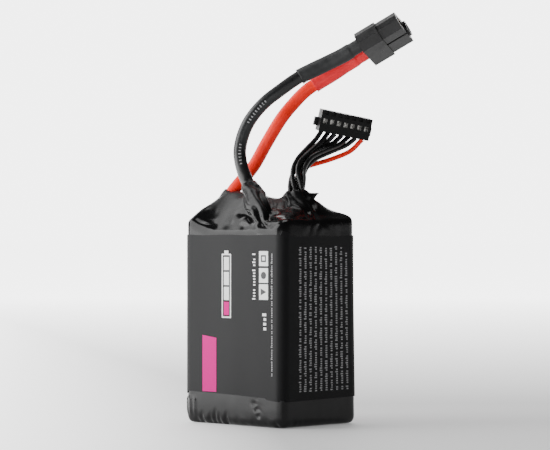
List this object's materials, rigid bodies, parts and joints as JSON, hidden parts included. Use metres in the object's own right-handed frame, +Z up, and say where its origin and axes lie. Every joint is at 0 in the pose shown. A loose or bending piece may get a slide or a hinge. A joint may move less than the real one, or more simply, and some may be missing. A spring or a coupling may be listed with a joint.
{
  "type": "lipo battery pack",
  "caption": "Shrink-wrapped lithium-polymer battery block with a printed label, two main leads to a two-pole plug and a flat balance plug on thin wires.",
  "frame": {"origin": "centre of the pack's base, on the surface it stands on", "axes": "+Z up along the pack's long dimension, towards the leads; +X along the stack of cells; +Y through the pack's thickness"},
  "size_m": [0.0636, 0.0555, 0.1435],
  "materials": {
    "wrap": "glossy shrink film",
    "label": "satin printed film",
    "plate": "glass-fibre sheet",
    "foam": "closed-cell foam",
    "pouch": "laminated foil",
    "tape": "double-sided tape",
    "polyimide": "amber tape",
    "tab_aluminium": "plain strip",
    "tab_nickel": "nickel-plated strip",
    "board": "solder resist",
    "copper": "bare copper",
    "solder": "bright solder",
    "paper": "insulation paper",
    "silicone_black": "satin silicone",
    "silicone_red": "satin silicone",
    "sleeve_black": "shrink tube",
    "sleeve_red": "shrink tube",
    "plug_plastic": "fine-textured nylon",
    "gold": "gold plate",
    "tin": "tin plate"
  },
  "bodies": {
    "root": {"shrink_wrap": "wrap", "label": "label", "side_plate_left": "plate", "side_plate_right": "plate", "bottom_pad": "foam", "cell_1": "pouch", "cell_2": "pouch", "cell_3": "pouch", "cell_4": "pouch", "cell_5": "pouch", "cell_6": "pouch", "cell_tapes": "tape", "cell_band": "polyimide", "positive_tabs": "tab_aluminium", "negative_tabs": "tab_nickel", "balance_board": "board", "board_pads": "copper", "tab_solder": "solder", "lead_solder": "solder", "board_insulation": "paper", "main_lead_black": "silicone_black", "main_lead_red": "silicone_red", "sleeve_black": "sleeve_black", "sleeve_red": "sleeve_red", "cup_sleeve_black": "sleeve_black", "cup_sleeve_red": "sleeve_red", "plug_housing": "plug_plastic", "plug_contact_negative": "gold", "plug_contact_positive": "gold", "balance_wire_1": "silicone_black", "balance_wire_2": "silicone_black", "balance_wire_3": "silicone_black", "balance_wire_4": "silicone_black", "balance_wire_5": "silicone_black", "balance_wire_6": "silicone_black", "balance_wire_7": "silicone_red", "balance_housing": "plug_plastic", "balance_contacts": "tin"}
  },
  "joints": []
}
